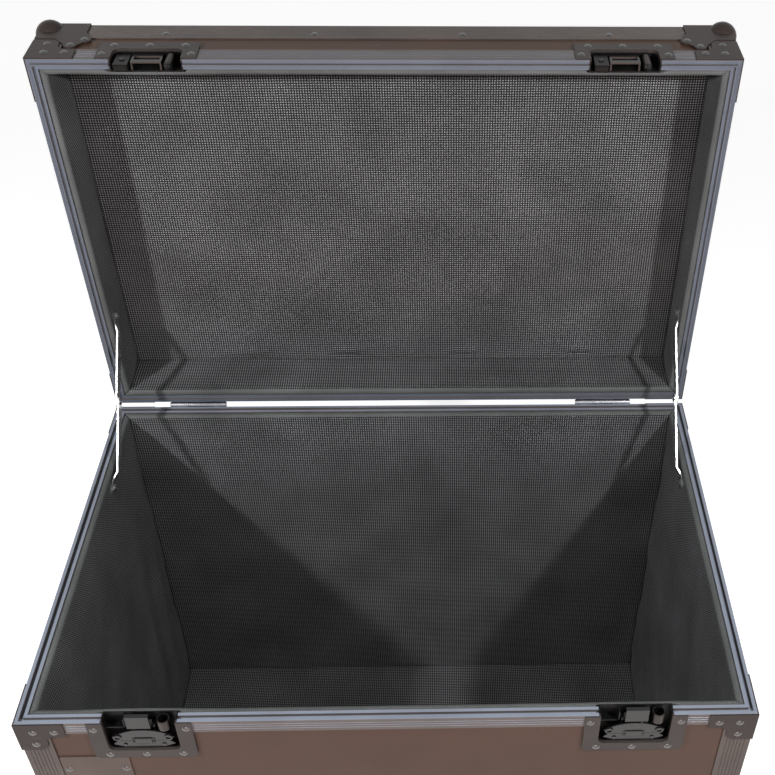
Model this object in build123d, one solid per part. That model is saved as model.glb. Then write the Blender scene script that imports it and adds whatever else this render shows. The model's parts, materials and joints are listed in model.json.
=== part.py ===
from build123d import *
import math
import os

# A road trunk for stage gear: a plywood box and a hinged lid in aluminium
# extrusions, with recessed butterfly latches, lid stays and side handles.
# Everything is drawn about the middle of the rim plane: X right, Y back,
# Z up. The lid is drawn closed, then turned open about the hinge axis.

# Overall sizes, over the aluminium extrusions
case_width = 800.0
case_depth = 516.0
base_height = 600.0
lid_height = 87.0
lid_open_angle = 88.0
lid_gap = 0.3

# Walls and lining
leg_thickness = 1.5
panel_thickness = 9.0
lining_thickness = 7.5
lining_drop = 2.5
floor_lining_thickness = 6.0

# Rim extrusions, with a groove in the base and a tongue in the lid
rim_inner_leg_thickness = 1.5
rim_web = 1.5
base_rim_leg = 19.0
lid_rim_leg = 25.0
rim_inner_leg = 13.0
groove_width = 4.4
groove_depth = 4.2
tongue_width = 2.4
tongue_height = 3.0

# Angle extrusions on the edges
edge_leg = 33.0
rib_pitch = 4.0
rib_groove_width = 1.0
rib_groove_depth = 0.4
mitre_overrun = 5.0

# Plates, ball corners and braces
plate_thickness = 1.5
ball_radius = 17.5
ball_inset = 8.5
ball_flat = 1.0
corner_reach = 54.0
corner_drop = 38.0
corner_neck = 22.0
corner_lobe = 7.5
corner_side_rivets = ((55.5, 40.0), (42.3, 54.0))
corner_end_rivets = ((55.5, 41.0), (41.0, 55.5))
brace_width = 52.0
brace_bar_height = 23.0
brace_leg_width = 30.0
brace_height = 46.0
brace_gap = 0.3
brace_rivets = ((17.5, 14.5), (40.0, 14.5), (16.5, 36.0))

# Rivet heads
rivet_radius = 4.3
rivet_height = 1.8

# Latches: one dish split between base and lid
latch_inset = 132.0
dish_open_width = 78.0
dish_depth = 13.5
dish_wall = 1.5
dish_corner = 8.0
flange_width = 112.0
flange_corner = 6.0
base_flange_height = 64.0
base_open_height = 50.0
lid_flange_height = 39.0
lid_open_height = 24.0
lid_flange_start = 2.0
flange_side_rivet_x = 49.5
flange_side_rivet_drop = 11.0
flange_end_rivet_x = 40.0
flange_end_rivet_edge = 6.5
notch_clearance = 0.3
lining_swell_width = 150.0
lining_swell = 4.0
lining_swell_height = 74.0

# Latch hook and strike
hook_width = 25.0
hook_sheet = 2.0
hook_seat_gap = 0.2
hook_tip_reach = 4.6
hook_shelf_z = -8.0
hook_tail_front = 6.0
hook_tail_bottom = -22.0
hook_travel_in = 3.2
hook_travel_down = 3.0
strike_width = 34.0
strike_front = 3.3
strike_sheet = 1.8
strike_low = 0.7
strike_high = 19.0
slot_low = 6.5
slot_high = 14.6
slot_width = 29.0

# Latch chassis, hub and folding wings
chassis_width = 32.0
chassis_plate = 1.8
chassis_top = -12.0
chassis_bottom = -47.0
cheek_clearance = 0.5
cheek_thickness = 2.0
cheek_front = 4.5
cheek_bottom = -26.0
hub_z = -35.0
hub_radius = 8.5
hub_front = 4.2
hinge_block_half = 9.0
hinge_block_height = 9.4
hinge_block_front = 0.0
wing_axis_offset = 2.6
wing_axis_depth = 2.1
wing_pin_radius = 1.0
wing_knuckle_radius = 2.2
wing_knuckle_length = 2.8
wing_sheet = 1.8
wing_span = 67.0
upper_wing_height = 16.0
lower_wing_height = 11.6
wing_parting = 0.5
ring_x = 27.5
ring_outer = 4.6
ring_inner = 2.6
ring_lift = 1.0
ring_height = 1.2
ring_web_sink = 0.2
wing_tip_rise = 6.0
upper_wing_tip_run = 5.0
lower_wing_tip_run = 6.0
wing_window = 1.2
wing_boss_x = 21.0
wing_boss_radius = 2.4
wing_boss_height = 0.9
wing_boss_drop = 5.0
running_gap = 0.05
side_gap = 0.3

# Locating pegs in the lid and their sockets in the base
square_peg_x = -27.0
square_peg_width = 16.0
square_peg_front = 3.0
square_peg_back = 11.0
peg_top = 18.0
peg_reach = 8.0
peg_chamfer = 1.5
peg_boss_radius = 3.0
peg_boss_height = 1.2
peg_boss_rise = 6.0
weld_overlap = 0.5
round_peg_x = 25.0
round_peg_depth = 6.2
round_peg_radius = 5.0
socket_clearance = 0.6
socket_wall = 1.4
socket_top = -1.5
socket_bottom = -16.0

# Hinges
hinge_inset = 113.0
hinge_length = 76.0
hinge_setback = 5.0
hinge_leaf_height = 30.0
hinge_leaf = 2.0
knuckle_radius = 4.4
hinge_pin_radius = 2.5
hinge_pin_head = 1.2
lid_knuckle_length = 27.0
leaf_relief = 5.0
hinge_rivet_x = 24.0
hinge_rivet_drop = 19.5

# Lid stays: two flat bars on each side
stay_reach = 142.0
stay_drop = 24.0
stay_width = 16.0
stay_bar = 2.0
stay_pad_offset = 1.1
stay_upper_offset = 5.0
stay_layer_gap = 0.3
stay_pad_length = 10.0
stay_crank_length = 12.0
stay_stud_radius = 3.0
stay_washer_radius = 8.0
stay_washer = 1.0
stay_head_radius = 5.5
stay_head_height = 2.2
stay_head_gap = 0.1

# Side handles
handle_drop = 250.0
handle_flange_width = 168.0
handle_flange_height = 118.0
handle_open_width = 134.0
handle_open_height = 84.0
handle_axis_drop = 14.0
handle_axis_depth = 6.3
bail_radius = 3.6
bail_half_width = 54.0
bail_drop = 50.0
bail_bend = 12.0
grip_radius = 6.2
grip_length = 84.0
ear_thickness = 5.0
ear_half_height = 7.5
trunnion_length = 5.2

# Name plate, left bare
plate_inset = 34.0
plate_width = 76.0
plate_height = 48.0
plate_top = -64.5
plate_sheet = 1.2
plate_rivet_inset = 6.5

# Worked-out places
half_w = case_width / 2
half_d = case_depth / 2
latch_offset = half_w - latch_inset
hinge_offset = half_w - hinge_inset
plate_left = plate_inset - half_w
panel_inner = leg_thickness + panel_thickness
rim_width = panel_inner + rim_inner_leg_thickness
lining_inner = panel_inner + lining_thickness
rim_web_under = groove_depth + rim_web
hinge_y = half_d + hinge_setback
dish_outer = dish_depth + dish_wall
dish_half = dish_open_width / 2
notch_half = dish_half + dish_wall + notch_clearance
stay_radius = math.hypot(stay_reach, stay_drop)
stay_half_spread = lid_open_angle / 2 + math.degrees(math.atan2(stay_drop, stay_reach))
stay_length = stay_radius * math.sin(math.radians(stay_half_spread))
stay_open_angle = 90.0 - lid_open_angle / 2
stay_closed_angle = 180.0 - math.degrees(math.asin(stay_drop / stay_length))
stay_turn = stay_closed_angle - stay_open_angle
stay_lower_offset = stay_upper_offset + stay_bar + stay_layer_gap
foot_level = -(base_height + ball_radius - ball_inset - ball_flat)
hook_front = strike_front - side_gap - hook_sheet - hook_travel_in
hook_top = slot_low + lid_gap + hook_seat_gap + hook_sheet + hook_travel_down

parts = {}


def block(x0, x1, y0, y1, z0, z1):
    """A box between two corners."""
    middle = Pos((x0 + x1) / 2, (y0 + y1) / 2, (z0 + z1) / 2)
    return middle * Box(abs(x1 - x0), abs(y1 - y0), abs(z1 - z0))


def prism_x(points, x0, x1):
    """An outline in Y and Z carried along X."""
    face = Plane.YZ * make_face(Polyline(*points, close=True))
    return Pos(x0, 0, 0) * extrude(face, x1 - x0)


def prism_y(outline, y0, y1):
    """A face drawn in X and Z carried along Y."""
    return Pos(0, y1, 0) * extrude(Plane.XZ * outline, y1 - y0)


def rod_x(radius, x0, x1, y, z):
    """A round rod along X."""
    return Pos((x0 + x1) / 2, y, z) * Rot(0, 90, 0) * Cylinder(radius, x1 - x0)


def rod_y(radius, y0, y1, x, z):
    """A round rod along Y."""
    return Pos(x, (y0 + y1) / 2, z) * Rot(90, 0, 0) * Cylinder(radius, y1 - y0)


def mirrored(shape, plane):
    """The shape and its mirror image, as a list."""
    return [shape, mirror(shape, plane)]


def both_sides(shape):
    """A shape on the right and its mirror image on the left."""
    return mirrored(shape, Plane.YZ)


def four_corners(shape):
    """A shape at the right back corner and its images at all four corners."""
    corners = []
    for side in mirrored(shape, Plane.XZ):
        corners += both_sides(side)
    return corners


def to_lid(shape):
    """A shape drawn under the rim plane, moved to the closed lid above it."""
    return Pos(0, 0, lid_gap) * mirror(shape, Plane.XY)


def open_lid(shape):
    """A shape on the closed lid, turned open about the hinge axis."""
    return Pos(0, hinge_y, 0) * Rot(-lid_open_angle, 0, 0) * Pos(0, -hinge_y, 0) * shape


def solids_of(shape):
    """Every solid in a shape or a list of shapes."""
    if isinstance(shape, (list, tuple)):
        found = []
        for item in shape:
            found += solids_of(item)
        return found
    return list(shape.solids())


def add(name, shape):
    """Keep a node on the base."""
    parts[name] = solids_of(shape)


def add_lid(name, shape):
    """Keep a node drawn in the base's sense as a node of the open lid."""
    parts[name] = [open_lid(to_lid(solid)) for solid in solids_of(shape)]


def grooved(start, end, margin):
    """Points of a straight flank with shallow grooves cut to the right of its way."""
    length = math.dist(start, end)
    along = ((end[0] - start[0]) / length, (end[1] - start[1]) / length)
    inward = (along[1], -along[0])
    count = int((length - 2 * margin) / rib_pitch)
    first = (length - (count - 1) * rib_pitch) / 2
    points = [start]
    for index in range(count):
        middle = first + index * rib_pitch
        steps = ((-0.5, 0.0), (-0.25, 1.0), (0.25, 1.0), (0.5, 0.0))
        for shift, depth in steps:
            reach = middle + shift * rib_groove_width
            sink = depth * rib_groove_depth
            points.append((start[0] + along[0] * reach + inward[0] * sink,
                           start[1] + along[1] * reach + inward[1] * sink))
    points.append(end)
    return points


def mitred_bar(profile, length, span, reach):
    """A bar along X on the -Y side, its ends mitred; profile holds inset and drop."""
    points = [(inset - span / 2, -drop) for inset, drop in profile]
    half = length / 2
    front = -span / 2
    over = mitre_overrun
    bar = prism_x(points, -half - over, half + over)
    low = min(point[1] for point in points) - over
    high = max(point[1] for point in points) + over
    near = front - over
    far = front + reach + over
    plan = Polyline((-half - over, near), (half + over, near), (half - reach - over, far),
                    (-half + reach + over, far), close=True)
    return bar & (Pos(0, 0, low) * extrude(make_face(plan), high - low))


def ring_of_bars(profile, reach):
    """Four mitred bars round the case: front, right, back and left."""
    bars = []
    for turn in range(4):
        length, span = (case_width, case_depth) if turn % 2 == 0 else (case_depth, case_width)
        bars.append(Rot(0, 0, 90 * turn) * mitred_bar(profile, length, span, reach))
    return bars


def latch_notches(drop):
    """Room for both latch dishes through the front wall, down to a drop."""
    cuts = []
    for x in (-latch_offset, latch_offset):
        cuts.append(block(x - notch_half, x + notch_half, -half_d - 5, -half_d + dish_outer + notch_clearance,
                          -drop - dish_wall - notch_clearance, 10))
    return cuts


def handle_notches():
    """Room for both handle dishes through the side walls."""
    half = handle_open_width / 2 + dish_wall + notch_clearance
    high = -handle_drop + handle_open_height / 2 + dish_wall + notch_clearance
    low = -handle_drop - handle_open_height / 2 - dish_wall - notch_clearance
    inner = half_w - dish_outer - notch_clearance
    return both_sides(block(inner, half_w + 5, -half, half, low, high))


def cut(shape, tools):
    """A shape with every tool cut away."""
    for tool in tools:
        shape = shape - tool
    return shape


def base_rim_profile():
    """Outline of the base rim: legs astride the panel, a groove on top."""
    middle = rim_width / 2
    flank = grooved((0.0, 0.0), (0.0, base_rim_leg), rib_pitch * 0.8)
    inner = [
        (leg_thickness, base_rim_leg),
        (leg_thickness, rim_web_under),
        (panel_inner, rim_web_under),
        (panel_inner, rim_inner_leg),
        (rim_width, rim_inner_leg),
        (rim_width, 0.0),
        (middle + groove_width / 2, 0.0),
        (middle + groove_width / 2, groove_depth),
        (middle - groove_width / 2, groove_depth),
        (middle - groove_width / 2, 0.0),
    ]
    return flank + inner


def lid_rim_profile():
    """Outline of the lid rim: the same legs with a tapered tongue."""
    middle = rim_width / 2
    flank = grooved((0.0, 0.0), (0.0, lid_rim_leg), rib_pitch * 0.8)
    inner = [
        (leg_thickness, lid_rim_leg),
        (leg_thickness, rim_web_under),
        (panel_inner, rim_web_under),
        (panel_inner, rim_inner_leg),
        (rim_width, rim_inner_leg),
        (rim_width, 0.0),
        (middle + tongue_width / 2, 0.0),
        (middle + tongue_width / 3, -tongue_height),
        (middle - tongue_width / 3, -tongue_height),
        (middle - tongue_width / 2, 0.0),
    ]
    return flank + inner


def edge_profile(height):
    """Outline of an angle extrusion on the closed end of a box of this height."""
    upright = grooved((0.0, height - edge_leg), (0.0, height), rib_pitch)
    flat = grooved((0.0, height), (edge_leg, height), rib_pitch)
    inner = [(edge_leg, height - leg_thickness), (leg_thickness, height - leg_thickness),
             (leg_thickness, height - edge_leg)]
    return upright + flat[1:] + inner


def upright(top_drop, bottom_drop):
    """The angle extrusion on the left front upright edge."""
    front_flank = grooved((edge_leg, 0.0), (0.0, 0.0), rib_pitch)
    side_flank = grooved((0.0, 0.0), (0.0, edge_leg), rib_pitch)
    points = front_flank + side_flank[1:] + [(leg_thickness, edge_leg), (leg_thickness, leg_thickness),
                                             (edge_leg, leg_thickness)]
    placed = [(x - half_w, y - half_d) for x, y in points]
    face = make_face(Polyline(*placed, close=True))
    return Pos(0, 0, -bottom_drop) * extrude(face, bottom_drop - top_drop)


def shell_panels(height):
    """The five plywood panels of a box open at the rim plane: end, front, back, left, right."""
    outer_x = half_w - leg_thickness
    outer_y = half_d - leg_thickness
    inner_y = half_d - panel_inner
    floor_top = -(height - panel_inner)
    top = -rim_web_under
    end = block(-outer_x, outer_x, -outer_y, outer_y, -(height - leg_thickness), floor_top)
    front = block(-outer_x, outer_x, -outer_y, -inner_y, floor_top, top)
    back = mirror(front, Plane.XZ)
    right = block(half_w - panel_inner, outer_x, -inner_y, inner_y, floor_top, top)
    left = mirror(right, Plane.YZ)
    return end, front, back, left, right


def wall_lining(height):
    """Four padded wall linings, mitred at the corners, swelling behind the latches."""
    foot = height - panel_inner
    profile = [
        (rim_width, lining_drop),
        (lining_inner, lining_drop),
        (lining_inner, foot),
        (panel_inner, foot),
        (panel_inner, rim_inner_leg),
        (rim_width, rim_inner_leg),
    ]
    bars = ring_of_bars(profile, lining_inner)
    face_y = -half_d + lining_inner
    for x in (-latch_offset, latch_offset):
        reach = lining_swell_width / 2
        arc = ThreePointArc((x - reach, face_y), (x, face_y + lining_swell), (x + reach, face_y))
        chord = Line((x + reach, face_y), (x - reach, face_y))
        swell_drop = min(lining_swell_height, foot - floor_lining_thickness)
        swell = Pos(0, 0, -swell_drop) * extrude(make_face([arc, chord]), swell_drop - lining_drop)
        bars[0] = bars[0] + swell
    return bars


def end_lining(height):
    """The padded lining on the inside of the closed end."""
    inner_x = half_w - lining_inner
    inner_y = half_d - lining_inner
    foot = -(height - panel_inner)
    return block(-inner_x, inner_x, -inner_y, inner_y, foot, foot + floor_lining_thickness)


def corner_plate(rivets, drop):
    """A ball corner's plate in one face, measured from the corner, with a round lobe at each rivet."""
    out = plate_thickness
    points = [(-out, -out), (corner_reach, -out), (corner_reach, corner_neck)]
    for across, up in rivets:
        points += [(across + corner_lobe, up), (across, up + corner_lobe)]
    points += [(corner_neck, drop), (-out, drop)]
    face = make_face(Polyline(*points, close=True))
    for across, up in rivets:
        face = face + Pos(across, up) * Circle(corner_lobe)
    return face


def ball_corner(height):
    """A domed corner with a plate on each of its three faces, at the right back corner."""
    out = plate_thickness
    end_plate = Pos(0, 0, -out) * extrude(corner_plate(corner_end_rivets, corner_reach), out)
    back_plate = Rot(90, 0, 0) * extrude(corner_plate(corner_side_rivets, corner_drop), out)
    side_plate = mirror(Rot(0, 0, 90) * back_plate, Plane.YZ)
    span = 4 * ball_radius
    ball = Pos(ball_inset, ball_inset, ball_inset) * Sphere(ball_radius)
    ball = ball - block(0, span, 0, span, 0, span)
    shape = end_plate + back_plate + side_plate + ball
    return Pos(half_w, half_d, -height) * Rot(0, 0, 180) * shape


def brace_outline():
    """A rim corner brace in one face, measured from the corner and the rim plane."""
    out = plate_thickness
    return [(-out, brace_gap), (brace_width, brace_gap), (brace_width - 1, brace_bar_height - 2),
            (brace_width - 3, brace_bar_height), (brace_leg_width + 5, brace_bar_height),
            (brace_leg_width, brace_bar_height + 5), (brace_leg_width - 1, brace_height - 6),
            (brace_leg_width - 7, brace_height), (-out, brace_height)]


def brace():
    """A bent plate round an upright edge below the rim, at the right back corner."""
    flat = make_face(Polyline(*brace_outline(), close=True))
    back_plate = Rot(90, 0, 0) * extrude(flat, plate_thickness)
    side_plate = mirror(Rot(0, 0, 90) * back_plate, Plane.YZ)
    bent = mirror(back_plate + side_plate, Plane.XY)
    return Pos(half_w, half_d, 0) * Rot(0, 0, 180) * bent


def dome(radius, height):
    """A domed head of a radius and a height, standing on the XY plane."""
    sphere_radius = (radius ** 2 + height ** 2) / (2 * height)
    middle = height - sphere_radius
    half_angle = math.asin(radius / sphere_radius) / 2
    halfway = (sphere_radius * math.sin(half_angle), middle + sphere_radius * math.cos(half_angle))
    arc = ThreePointArc((radius, 0), halfway, (0, height))
    face = make_face([Line((0, 0), (radius, 0)), arc, Line((0, height), (0, 0))])
    return revolve(Plane.XZ * face, Axis.Z).solid()


head = dome(rivet_radius, rivet_height)


def head_at(x, y, z, facing):
    """A rivet head standing on a face that looks to the front, back, right, left or down."""
    turns = {
        "front": Rot(90, 0, 0),
        "back": Rot(-90, 0, 0),
        "right": Rot(0, 90, 0),
        "left": Rot(0, -90, 0),
        "down": Rot(180, 0, 0),
    }
    return Pos(x, y, z) * turns[facing] * head


def corner_heads(height):
    """Rivet heads on a ball corner at the right back corner."""
    out = plate_thickness
    heads = []
    for across, up in corner_side_rivets:
        heads.append(head_at(half_w - across, half_d + out, up - height, "back"))
        heads.append(head_at(half_w + out, half_d - across, up - height, "right"))
    for across, along in corner_end_rivets:
        heads.append(head_at(half_w - across, half_d - along, -height - out, "down"))
    return heads


def brace_heads():
    """Rivet heads on a brace at the right back corner."""
    out = plate_thickness
    heads = []
    for across, drop in brace_rivets:
        heads.append(head_at(half_w - across, half_d + out, -drop, "back"))
        heads.append(head_at(half_w + out, half_d - across, -drop, "right"))
    return heads


def flange_heads(flange_height):
    """Rivet heads round one half of a latch flange, for both latches."""
    face = -half_d - plate_thickness
    low = -(flange_height - flange_end_rivet_edge)
    heads = []
    for middle in (-latch_offset, latch_offset):
        for x in (-flange_side_rivet_x, flange_side_rivet_x):
            heads.append(head_at(middle + x, face, -flange_side_rivet_drop, "front"))
        for x in (-flange_end_rivet_x, 0.0, flange_end_rivet_x):
            heads.append(head_at(middle + x, face, low, "front"))
    return heads


def hinge_heads():
    """Rivet heads on both hinge leaves of one box."""
    face = half_d + hinge_leaf
    heads = []
    for middle in (-hinge_offset, hinge_offset):
        for x in (-hinge_rivet_x, 0.0, hinge_rivet_x):
            heads.append(head_at(middle + x, face, -hinge_rivet_drop, "back"))
    return heads


def edge_heads(height):
    """Rivet heads along the angle extrusions of the closed end."""
    drop = -(height - edge_leg * 0.68)
    heads = []
    for share in (-0.75, -0.25, 0.25, 0.75):
        x = share * (half_w - edge_leg) * 0.93
        heads.append(head_at(x, -half_d, drop, "front"))
        heads.append(head_at(x, half_d, drop, "back"))
    for share in (-0.5, 0.5):
        y = share * (half_d - edge_leg)
        heads.append(head_at(half_w, y, drop, "right"))
        heads.append(head_at(-half_w, y, drop, "left"))
    return heads


def upright_heads():
    """Rivet heads up the tall edges of the base, at the right back corner."""
    inset = edge_leg * 0.64
    heads = []
    for share in (0.3, 0.5, 0.7):
        heads.append(head_at(half_w - inset, half_d, -share * base_height, "back"))
        heads.append(head_at(half_w, half_d - inset, -share * base_height, "right"))
    return heads


def handle_heads():
    """Rivet heads round the right handle's flange."""
    face = half_w + plate_thickness
    rim_y = (handle_flange_width + handle_open_width) / 4
    rim_z = (handle_flange_height + handle_open_height) / 4
    heads = []
    for y in (-rim_y, 0.0, rim_y):
        for z in (-rim_z, rim_z):
            heads.append(head_at(face, y, -handle_drop + z, "right"))
    return heads


def dish_half_shape(flange_start, flange_height, open_height, rim_leg):
    """One half of the split latch dish, about its own middle: flange, walls and floor."""
    out = plate_thickness
    wide = dish_half + dish_wall
    flange_mid = -(flange_start + flange_height) / 2
    flange = Pos(0, flange_mid) * Rectangle(flange_width, flange_height - flange_start)
    flange = fillet(flange.vertices().group_by(Axis.Y)[0], flange_corner)
    plate = prism_y(flange, -out, 0)
    seat_top = -rim_leg - notch_clearance
    below_rim = block(-flange_width, flange_width, -5, 5, -flange_height, seat_top)
    seat = prism_y(flange, 0, leg_thickness) & below_rim
    tub = Pos(0, -(open_height + dish_wall) / 2) * Rectangle(2 * wide, open_height + dish_wall)
    tub = fillet(tub.vertices().group_by(Axis.Y)[0], dish_corner + dish_wall)
    hollow = Pos(0, -open_height / 2 + 2) * Rectangle(dish_open_width, open_height + 4)
    hollow = fillet(hollow.vertices().group_by(Axis.Y)[0], dish_corner)
    return plate + seat + prism_y(tub, 0, dish_outer) - prism_y(hollow, -out - 1, dish_depth)


def base_dish():
    """The base half of a latch dish, with the two sockets for the lid's pegs."""
    shape = dish_half_shape(0.3, base_flange_height, base_open_height, base_rim_leg)
    inner = round_peg_radius + socket_clearance
    outer = inner + socket_wall
    tube_mid = (socket_top + socket_bottom) / 2
    length = socket_top - socket_bottom
    tube = Pos(round_peg_x, round_peg_depth, tube_mid) * Cylinder(outer, length)
    back = dish_depth + weld_overlap
    web = block(round_peg_x - 2, round_peg_x + 2, round_peg_depth, back, socket_bottom, socket_top)
    bore = Pos(round_peg_x, round_peg_depth, tube_mid + 2) * Cylinder(inner, length)
    socket_left = -dish_half - weld_overlap
    socket_right = square_peg_x + square_peg_width / 2 + socket_clearance
    front = square_peg_front + 2
    cheek = block(socket_right, socket_right + dish_wall, front, back, socket_bottom + 1, socket_top)
    shelf_top = socket_bottom + dish_wall
    shelf = block(socket_left, socket_right + dish_wall, front, back, socket_bottom, shelf_top)
    return shape + (tube + web - bore) + cheek + shelf


def lid_dish():
    """The lid half of a latch dish, drawn in the base's sense, with its two pegs."""
    shape = dish_half_shape(lid_flange_start, lid_flange_height, lid_open_height, lid_rim_leg)
    back = dish_depth + weld_overlap
    reach = peg_reach + lid_gap
    left = square_peg_x - square_peg_width / 2
    right = square_peg_x + square_peg_width / 2
    square = block(left, right, square_peg_front, square_peg_back, -peg_top, reach)
    square = chamfer(square.edges().group_by(Axis.Z)[-1], peg_chamfer)
    square_web = block(left + 1, right - 1, square_peg_back - 1, back, -peg_top, -2)
    boss_front = square_peg_front - peg_boss_height
    boss = rod_y(peg_boss_radius, boss_front, square_peg_front + 1, square_peg_x, -peg_boss_rise)
    stem_high = reach - round_peg_radius
    stem = Cylinder(round_peg_radius, stem_high + peg_top)
    stem = Pos(round_peg_x, round_peg_depth, (stem_high - peg_top) / 2) * stem
    ball = Pos(round_peg_x, round_peg_depth, stem_high) * Sphere(round_peg_radius)
    round_web = block(round_peg_x - 3, round_peg_x + 3, round_peg_depth, back, -peg_top, -2)
    return shape + (square + square_web + boss) + (stem + ball + round_web)


def hook():
    """The latch hook, a bent strip that reaches over the strike's lower bar."""
    front = hook_front
    sheet = hook_sheet
    back = hook_tail_front + sheet
    points = [
        (front, hook_shelf_z),
        (front, hook_top),
        (front + hook_tip_reach, hook_top),
        (front + hook_tip_reach, hook_top - sheet),
        (front + sheet, hook_top - sheet),
        (front + sheet, hook_shelf_z + sheet),
        (back, hook_shelf_z + sheet),
        (back, hook_tail_bottom),
        (hook_tail_front, hook_tail_bottom),
        (hook_tail_front, hook_shelf_z),
    ]
    return prism_x(points, -hook_width / 2, hook_width / 2)


def strike():
    """The lid's strike, a slotted staple, drawn in the base's sense."""
    half = strike_width / 2
    back = strike_front + strike_sheet
    plate = block(-half, half, strike_front, back, -strike_high, -strike_low)
    slot = block(-slot_width / 2, slot_width / 2, strike_front - 1, back + 1, -slot_high, -slot_low)
    roof = block(-half, half, back - 0.5, dish_depth, -strike_high, -strike_high + strike_sheet)
    leg = block(half - strike_sheet, half, back - 0.5, dish_depth, -strike_high, -strike_low)
    legs = both_sides(leg)
    return plate - slot + roof + legs[0] + legs[1]


def chassis():
    """The latch's fixed plate with two cheeks that guide the hook's tail."""
    half = chassis_width / 2
    plate = block(-half, half, dish_depth - chassis_plate, dish_depth, chassis_bottom, chassis_top)
    near = hook_width / 2 + cheek_clearance
    back = dish_depth - chassis_plate
    cheek = block(near, near + cheek_thickness, cheek_front, back, cheek_bottom, chassis_top)
    cheeks = both_sides(cheek)
    return plate + cheeks[0] + cheeks[1]


def hub():
    """The round hub of the butterfly, with a cross block that holds both wing pins."""
    barrel = rod_y(hub_radius, hub_front, dish_depth - chassis_plate, 0.0, hub_z)
    high = hub_z + hinge_block_height / 2
    low = hub_z - hinge_block_height / 2
    bar = block(-hinge_block_half, hinge_block_half, hinge_block_front, hub_front + 0.5, low, high)
    bar = fillet(bar.edges().filter_by(Axis.X).group_by(Axis.Y)[0], 1.2)
    shape = barrel + bar
    for shift in (-wing_axis_offset, wing_axis_offset):
        shape = shape - rod_x(wing_pin_radius + running_gap, -hinge_block_half - 1, hinge_block_half + 1,
                              wing_axis_depth, hub_z + shift)
    return shape


def wing_hinge(axis_z):
    """A wing's pin with a knuckle at each end, beside the hub's cross block."""
    near = hinge_block_half + side_gap
    pin = rod_x(wing_pin_radius, -near - 1, near + 1, wing_axis_depth, axis_z)
    far = near + wing_knuckle_length
    knuckles = both_sides(rod_x(wing_knuckle_radius, near, far, wing_axis_depth, axis_z))
    return pin + knuckles[0] + knuckles[1]


def upper_wing():
    """The wing that folds up flat, with a raised ring at each end."""
    axis_z = hub_z + wing_axis_offset
    half = wing_span / 2
    low = hub_z + wing_parting / 2
    high = axis_z + upper_wing_height
    tip = low + wing_tip_rise
    toe = half - upper_wing_tip_run
    arch = ThreePointArc((half, tip), (0, high), (-half, tip))
    outline = make_face([arch, Line((-half, tip), (-toe, low)), Line((-toe, low), (toe, low)),
                         Line((toe, low), (half, tip))])
    front = wing_axis_depth - wing_sheet / 2
    back = wing_axis_depth + wing_sheet / 2
    plate = prism_y(outline, front, back)
    room = hinge_block_half + side_gap
    plate = plate - block(-room, room, -5, 10, low - 1, axis_z + wing_knuckle_radius + wing_window)
    ring_z = low + ring_lift + ring_outer
    shape = plate + wing_hinge(axis_z)
    for x in (-ring_x, ring_x):
        shape = shape + rod_y(ring_outer, front - ring_height, back, x, ring_z)
        shape = shape - rod_y(ring_inner, front - 2 * ring_height, front - ring_web_sink, x, ring_z)
    return shape


def lower_wing():
    """The wing that folds down flat, a lens-shaped plate with two rivets."""
    axis_z = hub_z - wing_axis_offset
    half = wing_span / 2
    high = hub_z - wing_parting / 2
    low = axis_z - lower_wing_height
    tip = high - wing_tip_rise
    toe = half - lower_wing_tip_run
    arch = ThreePointArc((-half, tip), (0, low), (half, tip))
    outline = make_face([arch, Line((half, tip), (toe, high)), Line((toe, high), (-toe, high)),
                         Line((-toe, high), (-half, tip))])
    front = wing_axis_depth - wing_sheet / 2
    back = wing_axis_depth + wing_sheet / 2
    plate = prism_y(outline, front, back)
    room = hinge_block_half + side_gap
    plate = plate - block(-room, room, -5, 10, axis_z - wing_knuckle_radius - wing_window, high + 1)
    shape = plate + wing_hinge(axis_z)
    boss_front = front - wing_boss_height
    for x in (-wing_boss_x, wing_boss_x):
        shape = shape + rod_y(wing_boss_radius, boss_front, front + 0.2, x, axis_z - wing_boss_drop)
    return shape


def base_leaf():
    """The right hinge's base leaf, with a knuckle at each end."""
    half = hinge_length / 2
    gap_half = lid_knuckle_length / 2 + side_gap
    plate = block(-half, half, half_d, half_d + hinge_leaf, -hinge_leaf_height, 0)
    plate = plate - block(-gap_half, gap_half, half_d - 1, hinge_y + 10, -leaf_relief, 1)
    plate = fillet(plate.edges().filter_by(Axis.Y).group_by(Axis.Z)[0], 4.0)
    shape = plate
    for x0, x1 in ((-half, -gap_half), (gap_half, half)):
        shape = shape + rod_x(knuckle_radius, x0, x1, hinge_y, 0)
        shape = shape + block(x0, x1, half_d, hinge_y, -knuckle_radius, -1.0)
    shape = shape - rod_x(hinge_pin_radius, -half - 1, half + 1, hinge_y, 0)
    return Pos(hinge_offset, 0, 0) * shape


def lid_leaf():
    """The right hinge's lid leaf on the closed lid, with the middle knuckle."""
    half = hinge_length / 2
    knuckle_half = lid_knuckle_length / 2
    plate = block(-half, half, half_d, half_d + hinge_leaf, leaf_relief, hinge_leaf_height)
    plate = fillet(plate.edges().filter_by(Axis.Y).group_by(Axis.Z)[-1], 4.0)
    neck = block(-knuckle_half, knuckle_half, half_d, half_d + hinge_leaf, lid_gap + 0.7, leaf_relief + 1)
    web = block(-knuckle_half, knuckle_half, half_d, hinge_y, 1.0, knuckle_radius)
    shape = plate + neck + web + rod_x(knuckle_radius, -knuckle_half, knuckle_half, hinge_y, 0)
    shape = shape - rod_x(hinge_pin_radius + running_gap, -half, half, hinge_y, 0)
    return Pos(hinge_offset, 0, 0) * shape


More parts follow.
